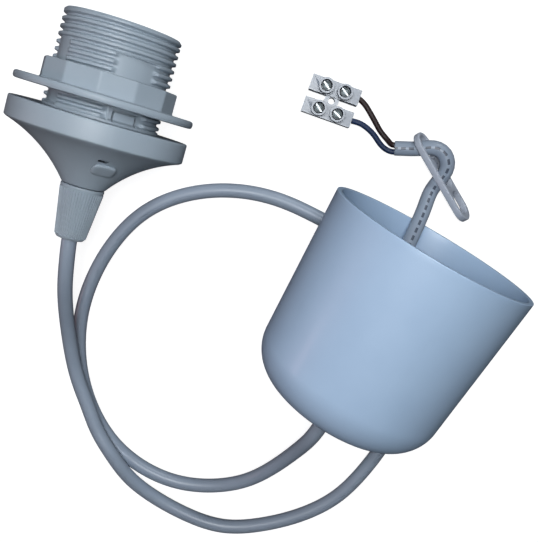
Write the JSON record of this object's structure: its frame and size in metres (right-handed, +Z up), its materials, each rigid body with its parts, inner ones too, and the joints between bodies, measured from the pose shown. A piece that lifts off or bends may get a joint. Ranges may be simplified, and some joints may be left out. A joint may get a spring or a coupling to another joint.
{
  "type": "pendant cord set",
  "caption": "Pendant lamp cord set laid out on a table: threaded lampholder with shade ring and cord grip, looped round cord, ceiling cup, hanger strap and terminal block.",
  "frame": {"origin": "on the table, under the middle of the footprint of the lampholder and the ceiling cup", "axes": "+Z up from the table; +Y along the lampholder's axis, out of its mouth; +X from the lampholder to the ceiling cup"},
  "size_m": [0.1866, 0.184, 0.0798],
  "materials": {
    "white_plastic": "satin gloss, moulded",
    "cord_pvc": "soft satin",
    "block_nylon": "slightly see-through, satin",
    "brown_core": "satin",
    "blue_core": "satin",
    "nickel": "nickel plated",
    "brass": "plain sheet"
  },
  "bodies": {
    "holder_and_cord": {"holder_cap": "white_plastic", "threaded_sleeve": "white_plastic", "cord_grip_nut": "white_plastic", "cord_clamp": "white_plastic", "contact_carrier": "white_plastic", "centre_contact": "brass", "side_contact": "brass", "holder_terminal_brown": "brass", "holder_terminal_blue": "brass", "holder_screw_brown": "nickel", "holder_screw_blue": "nickel", "holder_core_brown": "brown_core", "holder_core_blue": "blue_core", "ceiling_cup": "white_plastic", "cord_sheath": "cord_pvc", "hanger_strap": "white_plastic", "terminal_block": "block_nylon", "insert_brown": "nickel", "insert_blue": "nickel", "block_screw_1": "nickel", "block_screw_2": "nickel", "block_screw_3": "nickel", "block_screw_4": "nickel", "core_brown": "brown_core", "core_blue": "blue_core"},
    "shade_ring": {"shade_ring": "white_plastic"}
  },
  "joints": [
    {"name": "shade_ring_slide", "type": "slide", "parent": "holder_and_cord", "child": "shade_ring", "axis": [0, 1, 0], "range_m": [-0.0052, 0.0172]}
  ]
}
